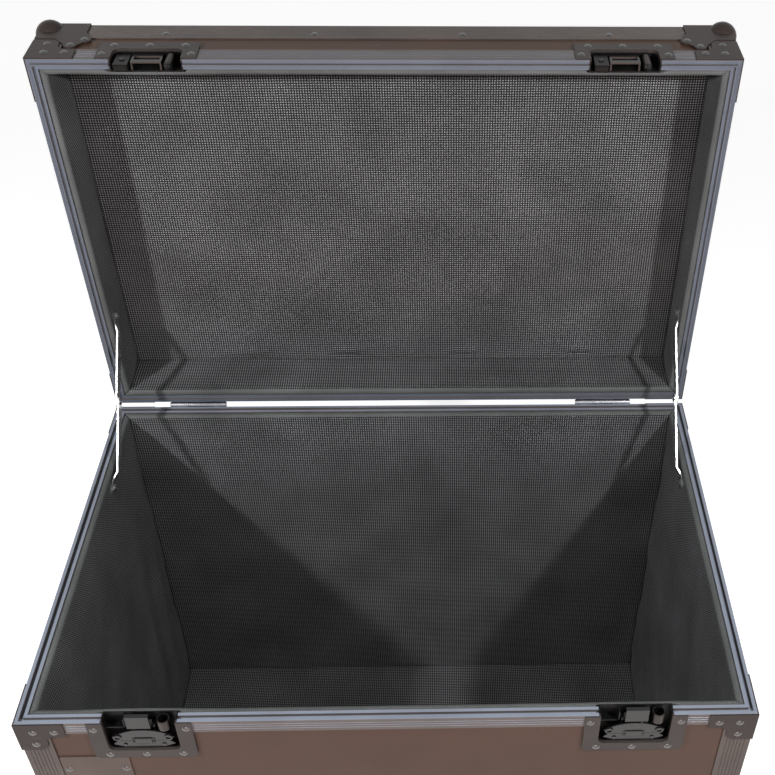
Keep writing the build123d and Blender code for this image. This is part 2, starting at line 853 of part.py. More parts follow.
def hinge_pin():
    """The right hinge's pin, peened at both ends."""
    half = hinge_length / 2
    shape = rod_x(hinge_pin_radius, -half, half, hinge_y, 0)
    shape = shape + rod_x(hinge_pin_radius + 1, -half - hinge_pin_head, -half, hinge_y, 0)
    shape = shape + rod_x(hinge_pin_radius + 1, half, half + hinge_pin_head, hinge_y, 0)
    return Pos(hinge_offset, 0, 0) * shape


def stay_bar_shape(main_offset, knee_head_outboard):
    """A cranked stay bar on the right wall, pivot at the origin, lying along +Y."""
    reach = stay_length + stay_width / 2
    pad_end = stay_pad_length
    run_start = stay_pad_length + stay_crank_length
    wall = half_w - lining_inner
    pad = wall - stay_pad_offset
    run = wall - main_offset
    side = [
        (-stay_width / 2, pad),
        (pad_end, pad),
        (run_start, run),
        (reach, run),
        (reach, run - stay_bar),
        (run_start, run - stay_bar),
        (pad_end, pad - stay_bar),
        (-stay_width / 2, pad - stay_bar),
    ]
    strip_face = Plane.XY * make_face(Polyline(*[(x, y) for y, x in side], close=True))
    strip = Pos(0, 0, -stay_width / 2) * extrude(strip_face, stay_width)
    outline = Pos(stay_length / 2, 0) * SlotOverall(stay_length + stay_width, stay_width)
    mask = Pos(wall - 30, 0, 0) * extrude(Plane.YZ * outline, 40)
    shape = (strip & mask).solid()
    shape = shape - rod_x(stay_stud_radius + running_gap, wall - 30, wall + 10, 0, 0)
    knee = Pos(0, stay_length, 0) * stay_head()
    if knee_head_outboard:
        return shape + Pos(run, 0, 0) * knee
    return shape + Pos(run - stay_bar, 0, 0) * mirror(knee, Plane.YZ)


def stay_head():
    """A domed stay rivet head that stands along +X from the YZ plane."""
    return Rot(0, 90, 0) * dome(stay_head_radius, stay_head_height)


def stay_stud():
    """A stay's pivot stud on the right wall: washer, shank and head."""
    wall = half_w - lining_inner
    bar_inner = wall - stay_pad_offset - stay_bar
    washer = rod_x(stay_washer_radius, wall - stay_washer, wall, 0, 0)
    shank = rod_x(stay_stud_radius, bar_inner - stay_head_gap, wall, 0, 0)
    top = Pos(bar_inner - stay_head_gap, 0, 0) * mirror(stay_head(), Plane.YZ)
    return washer + shank + top


def handle_dish():
    """The right handle's recessed dish, with an ear at each end of the bail."""
    out = plate_thickness
    flange = fillet(Rectangle(handle_flange_width, handle_flange_height).vertices(), flange_corner + 4)
    tub = fillet(Rectangle(handle_open_width + 2 * dish_wall, handle_open_height + 2 * dish_wall).vertices(),
                 dish_corner + dish_wall)
    hollow = fillet(Rectangle(handle_open_width, handle_open_height).vertices(), dish_corner)
    plate = Pos(-leg_thickness, 0, 0) * extrude(Plane.YZ * flange, leg_thickness + out)
    body = Pos(-dish_outer, 0, 0) * extrude(Plane.YZ * tub, dish_outer)
    room = Pos(-dish_depth, 0, 0) * extrude(Plane.YZ * hollow, dish_depth + 2 * out)
    shape = plate + body - room
    axis_z = handle_open_height / 2 - handle_axis_drop
    near = bail_half_width + bail_radius + side_gap
    ear_low = axis_z - ear_half_height
    ear_high = axis_z + ear_half_height
    ear = block(-dish_depth - weld_overlap, 0, near, near + ear_thickness, ear_low, ear_high)
    ears = mirrored(ear, Plane.XZ)
    shape = shape + ears[0] + ears[1]
    far = near + ear_thickness
    shape = shape - rod_y(bail_radius + running_gap, -far - 1, far + 1, -handle_axis_depth, axis_z)
    return Pos(half_w, 0, -handle_drop) * shape


def bail_path():
    """The right bail's centre line, hanging from its trunnions, in Y and Z."""
    axis_z = handle_open_height / 2 - handle_axis_drop
    low = axis_z - bail_drop
    side = bail_half_width
    bend = bail_bend
    halfway = bend * (1 - math.sqrt(0.5))
    right_arm = Line((side, axis_z), (side, low + bend))
    right_bend = ThreePointArc((side, low + bend), (side - halfway, low + halfway), (side - bend, low))
    bar = Line((side - bend, low), (-side + bend, low))
    left_bend = ThreePointArc((-side + bend, low), (-side + halfway, low + halfway), (-side, low + bend))
    left_arm = Line((-side, low + bend), (-side, axis_z))
    return right_arm + right_bend + bar + left_bend + left_arm


def bail():
    """The right handle's steel bail."""
    axis_z = handle_open_height / 2 - handle_axis_drop
    path = Plane.YZ * bail_path()
    start = Plane(origin=(0, bail_half_width, axis_z), z_dir=(0, 0, -1))
    rod = sweep(start * Circle(bail_radius), path=path)
    near = bail_half_width
    pins = mirrored(rod_y(bail_radius, near, near + bail_radius + trunnion_length, 0, axis_z), Plane.XZ)
    balls = mirrored(Pos(0, near, axis_z) * Sphere(bail_radius), Plane.XZ)
    shape = rod + pins[0] + pins[1] + balls[0] + balls[1]
    return Pos(half_w - handle_axis_depth, 0, -handle_drop) * shape


def grip():
    """The right handle's rubber grip, a sleeve on the bail's bar."""
    axis_z = handle_open_height / 2 - handle_axis_drop
    low = axis_z - bail_drop
    sleeve = rod_y(grip_radius, -grip_length / 2, grip_length / 2, 0, low)
    sleeve = fillet(sleeve.edges().filter_by(GeomType.CIRCLE), 1.6)
    shape = sleeve - rod_y(bail_radius, -grip_length, grip_length, 0, low)
    return Pos(half_w - handle_axis_depth, 0, -handle_drop) * shape


def name_plate():
    """The bare name plate on the front, beside the left upright."""
    front = -half_d + leg_thickness - plate_sheet
    right = plate_left + plate_width
    plate = block(plate_left, right, front, -half_d + leg_thickness, plate_top - plate_height, plate_top)
    return fillet(plate.edges().filter_by(Axis.Y), 2.0)


def plate_heads():
    """Rivet heads at both ends of the name plate."""
    front = -half_d + leg_thickness - plate_sheet
    middle = plate_top - plate_height / 2
    ends = (plate_left + plate_rivet_inset, plate_left + plate_width - plate_rivet_inset)
    return [head_at(x, front, middle, "front") for x in ends]


def build_base():
    """Panels, lining and extrusions of the base."""
    floor, front, back, left, right = shell_panels(base_height)
    add("base_floor_panel", floor)
    add("base_front_panel", cut(front, latch_notches(base_open_height)))
    add("base_back_panel", back)
    add("base_left_panel", cut(left, handle_notches()))
    add("base_right_panel", cut(right, handle_notches()))
    bars = wall_lining(base_height)
    bars = [cut(bar, latch_notches(base_open_height) + handle_notches()) for bar in bars]
    add("base_wall_lining", bars)
    add("base_floor_lining", end_lining(base_height))
    rim = ring_of_bars(base_rim_profile(), rim_width)
    rim[0] = cut(rim[0], latch_notches(base_open_height))
    add("base_rim", rim)
    add("base_bottom_edges", ring_of_bars(edge_profile(base_height), edge_leg))
    add("base_uprights", four_corners(upright(base_rim_leg, base_height - edge_leg)))


def build_lid():
    """Panels, lining and extrusions of the lid."""
    top, front, back, left, right = shell_panels(lid_height)
    add_lid("lid_top_panel", top)
    add_lid("lid_front_panel", cut(front, latch_notches(lid_open_height)))
    add_lid("lid_back_panel", back)
    add_lid("lid_left_panel", left)
    add_lid("lid_right_panel", right)
    bars = wall_lining(lid_height)
    bars = [cut(bar, latch_notches(lid_open_height)) for bar in bars]
    add_lid("lid_wall_lining", bars)
    add_lid("lid_top_lining", end_lining(lid_height))
    rim = ring_of_bars(lid_rim_profile(), rim_width)
    rim[0] = cut(rim[0], latch_notches(lid_open_height))
    add_lid("lid_rim", rim)
    add_lid("lid_top_edges", ring_of_bars(edge_profile(lid_height), edge_leg))
    add_lid("lid_uprights", four_corners(upright(lid_rim_leg, lid_height - edge_leg)))


def build_corners():
    """Ball corners, braces and the rivets of both boxes."""
    below_feet = block(0, case_width, 0, case_depth, foot_level - ball_radius, foot_level)
    add("base_ball_corners", four_corners(ball_corner(base_height) - below_feet))
    add_lid("lid_ball_corners", four_corners(ball_corner(lid_height)))
    add("base_braces", four_corners(brace()))
    add_lid("lid_braces", four_corners(brace()))
    base_heads = []
    for one in corner_heads(base_height) + brace_heads() + upright_heads():
        base_heads += four_corners(one)
    for one in handle_heads():
        base_heads += both_sides(one)
    base_heads += flange_heads(base_flange_height) + hinge_heads() + edge_heads(base_height) + plate_heads()
    add("base_rivets", base_heads)
    lid_heads = []
    for one in corner_heads(lid_height) + brace_heads():
        lid_heads += four_corners(one)
    lid_heads += flange_heads(lid_flange_height) + hinge_heads() + edge_heads(lid_height)
    add_lid("lid_rivets", lid_heads)


def build_latches():
    """Both latches: dish, chassis, hook, hub and wings on the base, dish and strike on the lid."""
    for side, x in (("left", -latch_offset), ("right", latch_offset)):
        place = Pos(x, -half_d, 0)
        add(f"latch_{side}_base_dish", place * base_dish())
        add(f"latch_{side}_chassis", place * chassis())
        add(f"latch_{side}_hook", place * hook())
        add(f"latch_{side}_hub", place * hub())
        add(f"latch_{side}_upper_wing", place * upper_wing())
        add(f"latch_{side}_lower_wing", place * lower_wing())
        add_lid(f"latch_{side}_lid_dish", place * lid_dish())
        add_lid(f"latch_{side}_strike", place * strike())


def build_hinges():
    """Both hinges."""
    for side, flip in (("right", False), ("left", True)):
        leaf, top_leaf = base_leaf(), open_lid(lid_leaf())
        add(f"hinge_{side}_base_leaf", mirror(leaf, Plane.YZ) if flip else leaf)
        add(f"hinge_{side}_lid_leaf", mirror(top_leaf, Plane.YZ) if flip else top_leaf)
    add("hinge_pins", both_sides(hinge_pin()))


def build_stays():
    """Both lid stays, drawn in the open pose."""
    base_pivot = Pos(0, hinge_y - stay_reach, -stay_drop)
    lid_pivot_y = hinge_y - stay_reach
    lower = base_pivot * Rot(stay_open_angle, 0, 0) * stay_bar_shape(stay_lower_offset, False)
    closed_pivot = Pos(0, lid_pivot_y, stay_drop)
    upper = stay_bar_shape(stay_upper_offset, True)
    upper = open_lid(closed_pivot * Rot(180 + stay_open_angle + lid_open_angle, 0, 0) * upper)
    base_stud = base_pivot * stay_stud()
    lid_stud = open_lid(closed_pivot * stay_stud())
    add("stay_base_studs", both_sides(base_stud))
    add("stay_lid_studs", both_sides(lid_stud))
    add("stay_right_lower_bar", lower)
    add("stay_left_lower_bar", mirror(lower, Plane.YZ))
    add("stay_right_upper_bar", upper)
    add("stay_left_upper_bar", mirror(upper, Plane.YZ))


def build_handles():
    """Both side handles."""
    for side, flip in (("right", False), ("left", True)):
        pieces = {"dish": handle_dish(), "bail": bail(), "grip": grip()}
        for name, shape in pieces.items():
            add(f"handle_{side}_{name}", mirror(shape, Plane.YZ) if flip else shape)


def write_parts():
    """Move the whole case to its floor-level origin and write one file for each node."""
    everything = [solid for solids in parts.values() for solid in solids]
    box = Compound(everything).bounding_box()
    shift = Pos(-box.center().X, -box.center().Y, -box.min.Z)
    print("shift", -box.center().X, -box.center().Y, -box.min.Z, "size", box.size)
    os.makedirs("parts", exist_ok=True)
    for name, solids in parts.items():
        moved = [shift * solid for solid in solids]
        export_step(moved[0] if len(moved) == 1 else Compound(moved), f"parts/{name}.step")


build_base()
build_lid()
build_corners()
build_latches()
build_hinges()
build_stays()
build_handles()
add("name_plate", name_plate())
write_parts()
print(len(parts), "nodes", "stay length", round(stay_length, 2), "turn", round(stay_turn, 3))
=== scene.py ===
"""The looks of a black road trunk that stands with its lid open.

Finishes are laid over the frame's own parts, and the padded linings are
modelled as puffed, creased cloth.
"""
import json
import logging
import math
from dataclasses import dataclass, replace
from enum import Enum

import bmesh
import bpy
import numpy as np
from mathutils import Matrix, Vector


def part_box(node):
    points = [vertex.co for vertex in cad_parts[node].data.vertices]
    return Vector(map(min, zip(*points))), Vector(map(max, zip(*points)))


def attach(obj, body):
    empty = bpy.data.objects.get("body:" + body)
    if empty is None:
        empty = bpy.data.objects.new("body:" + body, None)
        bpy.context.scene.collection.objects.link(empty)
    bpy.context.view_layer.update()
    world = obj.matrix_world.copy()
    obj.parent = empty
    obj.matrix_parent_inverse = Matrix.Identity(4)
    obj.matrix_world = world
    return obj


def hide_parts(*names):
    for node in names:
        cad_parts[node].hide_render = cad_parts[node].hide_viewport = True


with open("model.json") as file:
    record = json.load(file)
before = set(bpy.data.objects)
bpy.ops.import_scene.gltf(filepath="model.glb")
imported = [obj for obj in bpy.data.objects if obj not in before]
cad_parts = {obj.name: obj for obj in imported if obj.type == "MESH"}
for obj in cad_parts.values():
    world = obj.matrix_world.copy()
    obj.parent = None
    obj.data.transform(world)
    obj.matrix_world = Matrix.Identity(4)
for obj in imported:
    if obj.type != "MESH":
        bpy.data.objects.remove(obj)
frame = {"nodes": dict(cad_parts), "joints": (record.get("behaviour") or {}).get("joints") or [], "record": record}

LOG = logging.getLogger("road_trunk")
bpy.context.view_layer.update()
MM = 0.001
WELD = 0.01 * MM
NOISE_MIDDLE = 0.5
NOISE_RANGE = (0.3, 0.7)


class Slot(Enum):
    """The record's material slots."""

    LAMINATE = "laminate"
    EXTRUSION = "extrusion"
    CORNER = "corner"
    DISH = "dish"
    LATCH = "latch"
    RIVET = "rivet"
    LINING = "lining"
    ZINC = "zinc"
    HINGE = "hinge"
    GRIP = "grip"
    PLATE = "plate"


class Half(Enum):
    """The two boxes of the trunk, named as their bodies."""

    BASE = "base"
    LID = "lid"


@dataclass(frozen=True)
class Trunk:
    """Sizes of the trunk in metres, read from the frame or named as the construction has them."""

    half_width: float
    half_depth: float
    middle_y: float
    rim_z: float
    hinge_y: float
    open_angle: float
    lid_gap: float = 0.3 * MM
    rim_width: float = 12.0 * MM
    lining_inset: float = 18.0 * MM
    panel_inset: float = 10.5 * MM
    base_floor: float = 589.5 * MM
    lid_floor: float = 76.5 * MM
    latch_x: float = 268.0 * MM
    dish_back: float = 15.5 * MM
    dish_half: float = 41.0 * MM
    base_dish_foot: float = 51.8 * MM
    lid_dish_foot: float = 25.8 * MM
    handle_half: float = 69.0 * MM
    handle_head: float = 206.0 * MM
    handle_foot: float = 294.0 * MM

    @classmethod
    def from_frame(cls) -> "Trunk":
        """Read the rim's box and the lid's joint.

        Returns:
            The trunk's sizes.
        """
        low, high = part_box("base_rim")
        joint = next(one for one in frame["joints"] if one["name"] == "lid_hinge")
        hinge = joint["pos_m"]
        return cls(
            half_width=(high[0] - low[0]) / 2,
            half_depth=(high[1] - low[1]) / 2,
            middle_y=(high[1] + low[1]) / 2,
            rim_z=hinge[2],
            hinge_y=hinge[1],
            open_angle=math.radians(joint["range_deg"][1]),
        )

    def place(self, points: np.ndarray, half: Half) -> np.ndarray:
        """Carry points from a box's own sense into the row frame.

        A box is drawn about the middle of its rim plane with the hollow below.
        The lid's is mirrored up across the plane, then turned back about the
        hinge by the open angle.

        Args:
            points: Array of shape (..., 3), in metres.
            half: Which box the points belong to.

        Returns:
            The points in the row frame.
        """
        placed = np.array(points, dtype=float)
        placed[..., 1] += self.middle_y
        if half is Half.BASE:
            placed[..., 2] += self.rim_z
            return placed
        up = self.lid_gap - placed[..., 2]
        back = placed[..., 1] - self.hinge_y
        cos, sin = math.cos(self.open_angle), math.sin(self.open_angle)
        placed[..., 1] = self.hinge_y + back * cos + up * sin
        placed[..., 2] = self.rim_z - back * sin + up * cos
        return placed

    def ways(self, half: Half) -> tuple[tuple, tuple, float]:
        """Tell how one box lies in the row frame.

        Args:
            half: Which box.

        Returns:
            The way its rim's meeting face looks, the way from its front wall
            inwards, and how far along that way the front wall stands.
        """
        front = -self.half_depth
        marks = np.array([(0.0, front, 0.0), (0.0, front, 1.0), (0.0, 1.0 + front, 0.0)])
        corner, above, behind = self.place(marks, half)
        inward = behind - corner
        return tuple((above - corner).tolist()), tuple(inward.tolist()), float(inward @ corner)


def surface(name: str, points: np.ndarray, uvs: np.ndarray) -> bpy.types.Object:
    """Make a mesh from a grid of points with a UV map in metres.

    Args:
        name: The object's name.
        points: Array of shape (rows, columns, 3).
        uvs: Array of shape (rows, columns, 2).

    Returns:
        The new object, linked to the scene.
    """
    rows, columns = points.shape[:2]
    index = np.arange(rows * columns).reshape(rows, columns)
    quads = np.stack([index[:-1, :-1], index[:-1, 1:], index[1:, 1:], index[1:, :-1]], axis=-1)
    quads = quads.reshape(-1, 4)
    mesh = bpy.data.meshes.new(name)
    mesh.from_pydata(points.reshape(-1, 3).tolist(), [], quads.tolist())
    layer = mesh.uv_layers.new(name="UVMap")
    layer.data.foreach_set("uv", uvs.reshape(-1, 2)[quads.reshape(-1)].astype(np.float32).ravel())
    mesh.polygons.foreach_set("use_smooth", np.ones(len(quads), dtype=bool))
    mesh.update()
    piece = bpy.data.objects.new(name, mesh)
    bpy.context.collection.objects.link(piece)
    return piece


class Graph:
    """A node tree with short ways to add and join nodes."""

    def __init__(self, tree: bpy.types.NodeTree) -> None:
        """Keep the tree."""
        self.tree = tree

    def node(self, kind: str, **settings: object) -> bpy.types.Node:
        """Add a node.

        Args:
            kind: The node's type without the ShaderNode prefix.
            settings: Attributes to set on it.

        Returns:
            The new node.
        """
        made = self.tree.nodes.new("ShaderNode" + kind)
        for name, value in settings.items():
            setattr(made, name, value)
        return made

    def feed(self, socket: bpy.types.NodeSocket, value: object) -> None:
        """Join a socket to a value, or set it where the value is a plain number or colour."""
        if isinstance(value, bpy.types.NodeSocket):
            self.tree.links.new(value, socket)
        else:
            socket.default_value = value

    def math(self, operation: str, *values: object) -> bpy.types.NodeSocket:
        """Work out one Math node and return its result."""
        made = self.node("Math", operation=operation)
        for socket, value in zip(made.inputs, values):
            self.feed(socket, value)
        return made.outputs[0]

    def mix(self, share: object, first: object, second: object) -> bpy.types.NodeSocket:
        """Mix two colours and return the result."""
        made = self.node("Mix", data_type="RGBA")
        self.feed(made.inputs[0], share)
        self.feed(made.inputs[6], first)
        self.feed(made.inputs[7], second)
        return made.outputs[2]

    def span(self, value: object, low: float, high: float, start: float, stop: float) -> bpy.types.NodeSocket:
        """Map a value from low..high to start..stop, held at both ends."""
        made = self.node("MapRange")
        for socket, number in zip(made.inputs, (value, low, high, start, stop)):
            self.feed(socket, number)
        return made.outputs[0]

    def noise(self, where: object, scale: object, detail: float = 2.0) -> bpy.types.NodeSocket:
        """Read a noise at a place and return its value."""
        made = self.node("TexNoise")
        self.feed(made.inputs["Vector"], where)
        self.feed(made.inputs["Scale"], scale)
        made.inputs["Detail"].default_value = detail
        return made.outputs[0]

    def scaled(self, colour: object, factor: bpy.types.NodeSocket) -> bpy.types.NodeSocket:
        """Scale a colour and return the result."""
        made = self.node("VectorMath", operation="SCALE")
        self.feed(made.inputs[0], colour)
        self.feed(made.inputs["Scale"], factor)
        return made.outputs[0]

    def bump(self, height: bpy.types.NodeSocket, depth: float, strength: float) -> bpy.types.NodeSocket:
        """Raise the surface by a height and return its normal."""
        made = self.node("Bump")
        made.inputs["Distance"].default_value = depth
        made.inputs["Strength"].default_value = strength
        self.feed(made.inputs["Height"], height)
        return made.outputs[0]


def start_material(name: str) -> tuple[bpy.types.Material, Graph, bpy.types.Node]:
    """Start a material.

    Args:
        name: Its name.

    Returns:
        The material, its graph and its Principled shader.
    """
    material = bpy.data.materials.new(name)
    material.use_nodes = True
    return material, Graph(material.node_tree), material.node_tree.nodes["Principled BSDF"]


def effect(name: str, inputs: dict[str, object], outputs: list[str]) -> tuple[Graph, dict, dict]:
    """Start a shader node group with named inputs and value outputs.

    Args:
        name: The group's name.
        inputs: Default values by name; None stands for a vector.
        outputs: Names of the values that come out.

    Returns:
        The group's graph, its input sockets and its output sockets by name.
    """
    tree = bpy.data.node_groups.new(name, "ShaderNodeTree")
    for label, value in inputs.items():
        kind = "NodeSocketVector" if value is None else "NodeSocketFloat"
        socket = tree.interface.new_socket(name=label, in_out="INPUT", socket_type=kind)
        if value is not None:
            socket.default_value = value
    for label in outputs:
        tree.interface.new_socket(name=label, in_out="OUTPUT", socket_type="NodeSocketFloat")
    graph = Graph(tree)
    entry = tree.nodes.new("NodeGroupInput")
    leave = tree.nodes.new("NodeGroupOutput")
    sources = {label: entry.outputs[label] for label in inputs}
    sinks = {label: leave.inputs[label] for label in outputs}
    return graph, sources, sinks


def weave_effect() -> bpy.types.NodeTree:
    """Raised dots on a square net: the product of two raised cosines of the cloth's own coordinates.

    Returns:
        The group. Dots is 1 on a dot and 0 between; Ply is a slow change from place to place.
    """
    inputs = {"Vector": None, "Across": 3.2 * MM, "Along": 3.3 * MM, "Slub": 0.25}
    graph, given, result = effect("dotted_weave", inputs, ["Dots", "Ply"])
    split = graph.node("SeparateXYZ")
    graph.feed(split.inputs[0], given["Vector"])
    dot_foot, slub_scale, ply_scale, ply_detail = -0.55, 170.0, 9.0, 4.0
    waves = []
    for axis, pitch in ((0, "Across"), (1, "Along")):
        turns = graph.math("DIVIDE", split.outputs[axis], given[pitch])
        swing = graph.math("COSINE", graph.math("MULTIPLY", turns, math.tau))
        waves.append(graph.span(swing, dot_foot, 1.0, 0.0, 1.0))
    uneven = graph.math("SUBTRACT", graph.noise(given["Vector"], slub_scale), NOISE_MIDDLE)
    slub = graph.math("MULTIPLY_ADD", uneven, given["Slub"], 1.0)
    dots = graph.math("MULTIPLY", graph.math("MULTIPLY", waves[0], waves[1]), slub)
    graph.feed(result["Dots"], dots)
    graph.feed(result["Ply"], graph.noise(given["Vector"], ply_scale, ply_detail))
    return graph.tree


def grain_effect() -> bpy.types.NodeTree:
    """Fine grain of a coat, from two noises, and a slow mottle.

    Returns:
        The group. Height and Mottle run about 0.5.
    """
    inputs = {"Vector": None, "Scale": 900.0, "Mottle Scale": 14.0}
    graph, given, result = effect("coat_grain", inputs, ["Height", "Mottle"])
    mottle_detail = 5.0
    graph.feed(result["Height"], graph.noise(given["Vector"], given["Scale"]))
    graph.feed(result["Mottle"], graph.noise(given["Vector"], given["Mottle Scale"], mottle_detail))
    return graph.tree


def wear_effect() -> bpy.types.NodeTree:
    """Thin rubbed marks, where a drawn-out noise is near its middle value and a slow noise lets them show.

    Returns:
        The group. Marks is 1 on a mark and 0 elsewhere.
    """
    graph, given, result = effect("rub_marks", {"Vector": None, "Scale": 22.0, "Cover": 0.4}, ["Marks"])
    mark_detail, mark_width, patch_scale, patch_edge = 3.0, 0.012, 11.0, 6.0
    stretch = graph.node("Mapping")
    graph.feed(stretch.inputs["Vector"], given["Vector"])
    stretch.inputs["Rotation"].default_value = (0.3, 0.2, 0.5)
    stretch.inputs["Scale"].default_value = (1.0, 4.0, 7.0)
    thin = graph.noise(stretch.outputs[0], given["Scale"], mark_detail)
    near = graph.math("ABSOLUTE", graph.math("SUBTRACT", thin, NOISE_MIDDLE))
    line = graph.span(near, 0.0, mark_width, 1.0, 0.0)
    edge = graph.math("SUBTRACT", 1.0, given["Cover"])
    slow = graph.noise(given["Vector"], patch_scale)
    patch = graph.math("MULTIPLY", graph.math("SUBTRACT", slow, edge), patch_edge)
    patch_held = graph.node("Clamp")
    graph.feed(patch_held.inputs[0], patch)
    graph.feed(result["Marks"], graph.math("MULTIPLY", line, patch_held.outputs[0]))
    return graph.tree


class Effects:
    """The shared shader groups, each built once."""

    def __init__(self) -> None:
        """Build the groups."""
        self.weave = weave_effect()
        self.grain = grain_effect()
        self.wear = wear_effect()

    @staticmethod
    def use(graph: Graph, tree: bpy.types.NodeTree, **values: object) -> bpy.types.Node:
        """Place a group in a material and set its inputs.

        Args:
            graph: The material's graph.
            tree: The group.
            values: Sockets or numbers, by input name.

        Returns:
            The group's node.
        """
        made = graph.node("Group", node_tree=tree)
        for label, value in values.items():
            graph.feed(made.inputs[label], value)
        return made


@dataclass(frozen=True)
class PaintedShadingPatch:
    """A second colour on part of a piece; here it is painted light on the rims' meeting faces and painted shade
    inside the latch dishes.

    It lies where a reading in the piece's own axes, its place or its normal,
    measured along one way, is past a level.
    """

    colour: tuple[float, float, float]
    reading: str
    way: tuple[float, float, float]
    level: float
    blend: float

    def over(self, graph: Graph, own: tuple[float, float, float]) -> bpy.types.NodeSocket:
        """Lay the patch over a piece's own colour.

        Args:
            graph: The material's graph.
            own: The colour of the rest.

        Returns:
            The colour.
        """
        along = graph.node("VectorMath", operation="DOT_PRODUCT")
        graph.feed(along.inputs[0], graph.node("TexCoord").outputs[self.reading])
        along.inputs[1].default_value = self.way
        share = graph.span(along.outputs["Value"], self.level, self.level + self.blend, 0.0, 1.0)
        return graph.mix(share, (*own, 1.0), (*self.colour, 1.0))


@dataclass(frozen=True)
class Coat:
    """A painted, plated or moulded surface."""

    name: str
    colour: tuple[float, float, float]
    roughness: float
    metallic: float = 0.0
    clear: float = 0.0
    worn: tuple[float, float, float] = (0.16, 0.16, 0.165)
    wear: float = 0.35
    cover: float = 0.4
    grain: float = 900.0
    depth: float = 0.02 * MM
    mottle: float = 0.2
    gloss: float = 0.5
    # Where given, painted light or shade laid over part of the colour.
    patch: PaintedShadingPatch | None = None
    clear_roughness: float = 0.12
    roughness_share: float = 0.2

    def build(self, effects: Effects) -> bpy.types.Material:
        """Make the material.

        Args:
            effects: The shared groups.

        Returns:
            The material.
        """
        material, graph, shader = start_material(self.name)
        where = graph.node("TexCoord").outputs["Object"]
        grain = effects.use(graph, effects.grain, Vector=where, Scale=self.grain)
        marks = effects.use(graph, effects.wear, Vector=where, Cover=self.cover).outputs["Marks"]
        mottle = grain.outputs["Mottle"]
        mottled = graph.span(mottle, *NOISE_RANGE, 1.0 - self.mottle, 1.0 + self.mottle)
        # Where the coat has a patch, it paints light or shade over part of the colour.
        tone = graph.scaled(self.patch.over(graph, self.colour) if self.patch else self.colour, mottled)
        rubbed = graph.math("MULTIPLY", marks, self.wear)
        graph.feed(shader.inputs["Base Color"], graph.mix(rubbed, tone, (*self.worn, 1.0)))
        swing = self.roughness_share * self.mottle
        rough = graph.span(mottle, *NOISE_RANGE, self.roughness - swing, self.roughness + swing)
        graph.feed(shader.inputs["Roughness"], rough)
        shader.inputs["Metallic"].default_value = self.metallic
        shader.inputs["Specular IOR Level"].default_value = self.gloss
        shader.inputs["Coat Weight"].default_value = self.clear
        shader.inputs["Coat Roughness"].default_value = self.clear_roughness
        graph.feed(shader.inputs["Normal"], graph.bump(grain.outputs["Height"], self.depth, 1.0))
        return material


@dataclass(frozen=True)
class PaddedCloth:
    """The dotted cloth over thin foam."""

    name: str
    gap: tuple[float, float, float] = (0.018, 0.018, 0.019)
    dot: tuple[float, float, float] = (0.29, 0.29, 0.3)
    depth: float = 0.35 * MM
    gap_roughness: float = 0.9
    dot_roughness: float = 0.62
    ply_tones: tuple[float, float] = (0.76, 1.2)
    gloss: float = 0.08
    firmness: float = 0.6

    def build(self, effects: Effects) -> bpy.types.Material:
        """Make the material.

        Args:
            effects: The shared groups.

        Returns:
            The material.
        """
        material, graph, shader = start_material(self.name)
        where = graph.node("TexCoord").outputs["UV"]
        weave = effects.use(graph, effects.weave, Vector=where)
        dots = weave.outputs["Dots"]
        colour = graph.mix(dots, (*self.gap, 1.0), (*self.dot, 1.0))
        ply = graph.span(weave.outputs["Ply"], *NOISE_RANGE, *self.ply_tones)
        graph.feed(shader.inputs["Base Color"], graph.scaled(colour, ply))
        rough = graph.span(dots, 0.0, 1.0, self.gap_roughness, self.dot_roughness)
        graph.feed(shader.inputs["Roughness"], rough)
        shader.inputs["Specular IOR Level"].default_value = self.gloss
        graph.feed(shader.inputs["Normal"], graph.bump(dots, self.depth, self.firmness))
        return material


COATS: dict[Slot, Coat] = {
    Slot.LAMINATE: Coat("black_laminate", (0.060, 0.034, 0.024), 0.38, grain=420.0, depth=0.04 * MM,
                        mottle=0.08, gloss=0.1),
    Slot.EXTRUSION: Coat("satin_extrusion", (0.058, 0.045, 0.040), 0.33, metallic=0.1, grain=700.0,
                         gloss=0.2),
    Slot.CORNER: Coat("pressed_corner_enamel", (0.027, 0.019, 0.017), 0.3, depth=0.0, gloss=0.12),
    Slot.DISH: Coat("latch_dish_enamel", (0.034, 0.028, 0.026), 0.3, wear=0.2, depth=0.0, gloss=0.12),
    Slot.LATCH: Coat("latch_work_enamel", (0.006, 0.006, 0.006), 0.22, clear=0.1, wear=0.3, depth=0.0,
                     gloss=0.3),
    Slot.RIVET: Coat("rivet_enamel", (0.02, 0.019, 0.019), 0.2, clear=0.5, depth=0.0),
    Slot.ZINC: Coat("bright_zinc", (0.8, 0.81, 0.82), 0.24, metallic=1.0, worn=(0.5, 0.5, 0.5)),
    Slot.HINGE: Coat("hinge_zinc", (0.22, 0.22, 0.235), 0.26, metallic=1.0, worn=(0.1, 0.1, 0.1), depth=0.0),
    Slot.GRIP: Coat("grip_rubber", (0.016, 0.016, 0.016), 0.62, grain=1500.0, depth=0.06 * MM),
    Slot.PLATE: Coat("bare_plate", (0.060, 0.040, 0.032), 0.33, metallic=0.1, gloss=0.2, grain=1200.0),
}

RIM_COAT = Coat("rim_coat", (0.088, 0.074, 0.071), 0.33, metallic=0.1, gloss=0.2, grain=700.0, mottle=0.1)
# Painted top light: the rims' meeting faces get a lighter blue-grey for the cool light falling on them from above,
# brighter on the base than on the lid.
PAINTED_TOP_LIGHT_ON_MEETING_FACES: dict[Half, tuple[float, float, float]] = {
    Half.BASE: (0.185, 0.205, 0.25),
    Half.LID: (0.09, 0.102, 0.128),
}
# Painted shade: the inside of each latch dish, deeper than the flange, is coloured almost black for the shade in
# the recess.
DISH_INSIDE_PAINTED_SHADE = (0.004, 0.004, 0.004)
DISH_FLANGE = 1.5 * MM
LIP_CLOTH = PaddedCloth("lining_lip_cloth", (0.075, 0.078, 0.078), (0.11, 0.114, 0.114), 0.1 * MM)


